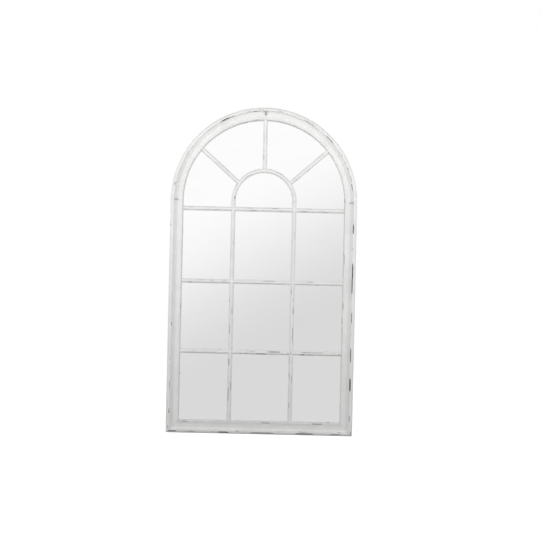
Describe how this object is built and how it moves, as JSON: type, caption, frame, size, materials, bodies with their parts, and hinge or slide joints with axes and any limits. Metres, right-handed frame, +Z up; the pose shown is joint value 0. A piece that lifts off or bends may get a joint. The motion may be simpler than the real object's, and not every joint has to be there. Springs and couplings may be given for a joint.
{
  "type": "arched window mirror",
  "caption": "Round-headed wall mirror framed and barred like a window, in worn white paint, with folding hanging rings behind.",
  "frame": {"origin": "under the middle of the bottom rail, half way through the frame's depth", "axes": "+Z up, +Y towards the wall so that the front faces -Y, +X to the viewer's right"},
  "size_m": [0.8, 0.0415, 1.4],
  "materials": {
    "painted_wood": "chalky white paint on pine, rubbed through to a dark undercoat along the arrises; bare wood behind",
    "silvered_glass": "clear float glass silvered on its back, with a grey backing paint and ground edges",
    "hardboard": "brown hardboard with a fine mesh texture",
    "beech": "bare turned beech",
    "bright_steel": "bright spring steel strip",
    "zinc_steel": "bright zinc plate, satin",
    "rubber": "matt black moulded rubber"
  },
  "bodies": {
    "mirror": {"left_stile": "painted_wood", "right_stile": "painted_wood", "bottom_rail": "painted_wood", "arch_left": "painted_wood", "arch_right": "painted_wood", "left_upright_bar": "painted_wood", "right_upright_bar": "painted_wood", "inner_arch_bar": "painted_wood", "left_radial_bar": "painted_wood", "top_radial_bar": "painted_wood", "right_radial_bar": "painted_wood", "low_left_bar": "painted_wood", "low_centre_bar": "painted_wood", "low_right_bar": "painted_wood", "mid_left_bar": "painted_wood", "mid_centre_bar": "painted_wood", "mid_right_bar": "painted_wood", "high_left_bar": "painted_wood", "high_centre_bar": "painted_wood", "high_right_bar": "painted_wood", "mirror_glass": "silvered_glass", "backing_board": "hardboard", "crown_dowels": "beech", "left_spring_dowels": "beech", "right_spring_dowels": "beech", "left_corner_v_nails": "bright_steel", "right_corner_v_nails": "bright_steel", "backing_screws": "zinc_steel", "left_hanger_screws": "zinc_steel", "right_hanger_screws": "zinc_steel", "left_hanger_strap": "zinc_steel", "right_hanger_strap": "zinc_steel", "left_wall_pad": "rubber", "right_wall_pad": "rubber", "glass_setting_blocks": "rubber"},
    "left_ring": {"left_hanger_ring": "zinc_steel"},
    "right_ring": {"right_hanger_ring": "zinc_steel"}
  },
  "joints": [
    {"name": "left_ring_swing", "type": "hinge", "parent": "mirror", "child": "left_ring", "pos_m": [-0.381, 0.0205, 0.93], "axis": [1, 0, 0], "range_deg": [0, 180]},
    {"name": "right_ring_swing", "type": "hinge", "parent": "mirror", "child": "right_ring", "pos_m": [0.381, 0.0205, 0.93], "axis": [1, 0, 0], "range_deg": [0, 180]}
  ]
}
